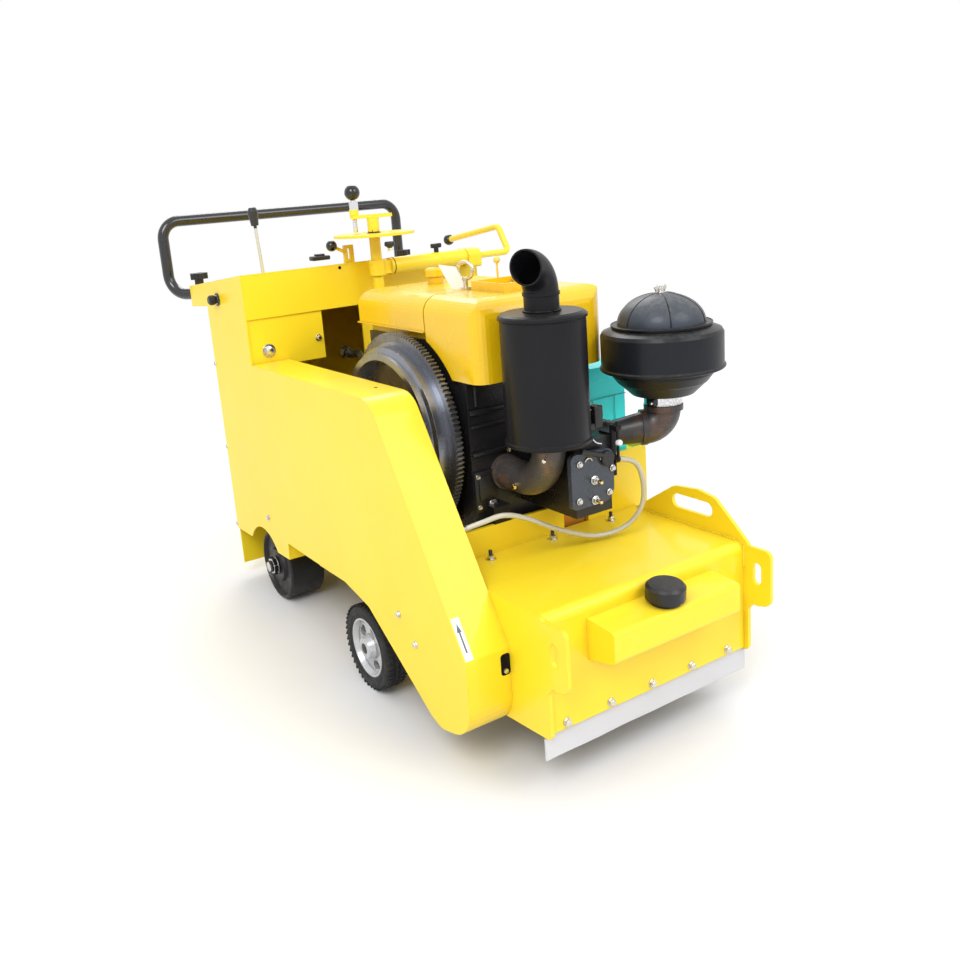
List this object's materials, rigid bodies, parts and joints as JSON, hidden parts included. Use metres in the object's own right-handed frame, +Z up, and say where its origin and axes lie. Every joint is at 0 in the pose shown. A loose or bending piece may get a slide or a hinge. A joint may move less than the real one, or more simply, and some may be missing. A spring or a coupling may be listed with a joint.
{
  "type": "walk-behind cold milling machine",
  "caption": "Walk-behind diesel road milling machine with picked cutting drum in a front hood, open engine with toothed flywheel, belt guard, console and push handle on wheels.",
  "frame": {"origin": "on the ground under the middle of the machine's length and width", "axes": "+X forward, towards the milling hood; +Y to the side of the battery and air cleaner, away from the belt guard; the names call +Y right and -Y left; +Z up"},
  "size_m": [1.513, 0.759, 0.9943],
  "materials": {
    "yellow_paint": "glossy yellow enamel",
    "grey_sheet": "dull pale grey sheet",
    "black_paint": "black satin paint",
    "dark_cast": "dark painted casting",
    "drum_steel": "dark worn steel",
    "flywheel_iron": "black paint with a bright turned ring",
    "bare_steel": "bare machined steel",
    "amber_paint": "glossy amber enamel",
    "zinc_plate": "pale yellow zinc plate",
    "rusty_iron": "heat-browned casting",
    "belt_rubber": "matte black rubber",
    "battery_case": "bright turquoise moulded plastic",
    "hose_pvc": "cream flexible hose",
    "tyre_rubber": "black tyre rubber",
    "rim_silver": "silver painted casting",
    "roller_rubber": "solid black rubber"
  },
  "bodies": {
    "machine": {"hood": "yellow_paint", "side_plate_left": "yellow_paint", "side_plate_right": "yellow_paint", "skirt": "grey_sheet", "water_tank": "yellow_paint", "water_cap": "black_paint", "bulkhead": "yellow_paint", "drum_bearings": "black_paint", "belts": "belt_rubber", "guard_plate": "yellow_paint", "guard_strip": "yellow_paint", "frame_rails": "yellow_paint", "side_panel": "yellow_paint", "deck": "yellow_paint", "engine_feet": "black_paint", "crankcase": "dark_cast", "cylinder_head": "dark_cast", "rocker_cover": "dark_cast", "hopper": "amber_paint", "fuel_tank": "amber_paint", "fuel_cap": "amber_paint", "float_gauge": "bare_steel", "lifting_eye": "zinc_plate", "exhaust_elbow": "rusty_iron", "muffler": "black_paint", "intake_elbow": "black_paint", "air_cleaner": "black_paint", "throttle_link": "black_paint", "battery_box": "yellow_paint", "battery": "battery_case", "hose": "hose_pvc", "console": "yellow_paint", "console_front_sheet": "yellow_paint", "rear_wall": "yellow_paint", "clamp_knobs": "black_paint", "drive_lever": "black_paint", "throttle_lever": "yellow_paint", "column": "yellow_paint", "cross_tube": "yellow_paint", "front_axle": "black_paint"},
    "drum_rotor": {"drum": "drum_steel", "picks": "bare_steel", "drum_pulley": "drum_steel"},
    "flywheel_rotor": {"flywheel": "flywheel_iron", "ring_gear": "bare_steel"},
    "front_wheel_left": {"tyre_left": "tyre_rubber", "rim_left": "rim_silver"},
    "front_wheel_right": {"tyre_right": "tyre_rubber", "rim_right": "rim_silver"},
    "rear_fork": {"lift_fork": "black_paint"},
    "rear_roller_left": {"roller_left": "roller_rubber"},
    "rear_roller_right": {"roller_right": "roller_rubber"},
    "depth_crank": {"crank": "yellow_paint"},
    "clutch_handle": {"clutch_lever": "yellow_paint"},
    "push_handle": {"handle": "black_paint"}
  },
  "joints": [
    {"name": "front_wheel_left_spin", "type": "hinge", "parent": "machine", "child": "front_wheel_left", "pos_m": [0.19061, -0.305, 0.093], "axis": [0, 1, 0], "continuous": true},
    {"name": "front_wheel_right_spin", "type": "hinge", "parent": "machine", "child": "front_wheel_right", "pos_m": [0.19061, 0.259, 0.093], "axis": [0, 1, 0], "continuous": true},
    {"name": "rear_lift", "type": "hinge", "parent": "machine", "child": "rear_fork", "pos_m": [-0.06805, -0.023, 0.16767], "axis": [0, -1, 0], "range_deg": [0, 18]},
    {"name": "rear_roller_left_spin", "type": "hinge", "parent": "rear_fork", "child": "rear_roller_left", "pos_m": [-0.30753, -0.269, 0.088], "axis": [0, 1, 0], "continuous": true},
    {"name": "rear_roller_right_spin", "type": "hinge", "parent": "rear_fork", "child": "rear_roller_right", "pos_m": [-0.30753, 0.223, 0.088], "axis": [0, 1, 0], "continuous": true},
    {"name": "drum_spin", "type": "hinge", "parent": "machine", "child": "drum_rotor", "pos_m": [0.511, 0.001, 0.17713], "axis": [0, 1, 0], "continuous": true},
    {"name": "flywheel_spin", "type": "hinge", "parent": "machine", "child": "flywheel_rotor", "pos_m": [0.13006, -0.195, 0.51829], "axis": [0, 1, 0], "continuous": true},
    {"name": "crank_turn", "type": "hinge", "parent": "machine", "child": "depth_crank", "pos_m": [-0.24448, -0.02, 0.88002], "axis": [-0.0785, 0, 0.9969], "range_deg": [0, 1080]},
    {"name": "clutch_swing", "type": "hinge", "parent": "machine", "child": "clutch_handle", "pos_m": [-0.23836, 0.301, 0.80226], "axis": [0, 1, 0], "range_deg": [-15, 20]},
    {"name": "handle_slide", "type": "slide", "parent": "machine", "child": "push_handle", "axis": [0.9969, 0, 0.0785], "range_m": [-0.05, 0]}
  ],
  "couplings": [
    {"joint": "crank_turn", "follows": "rear_lift", "ratio": 60}
  ]
}
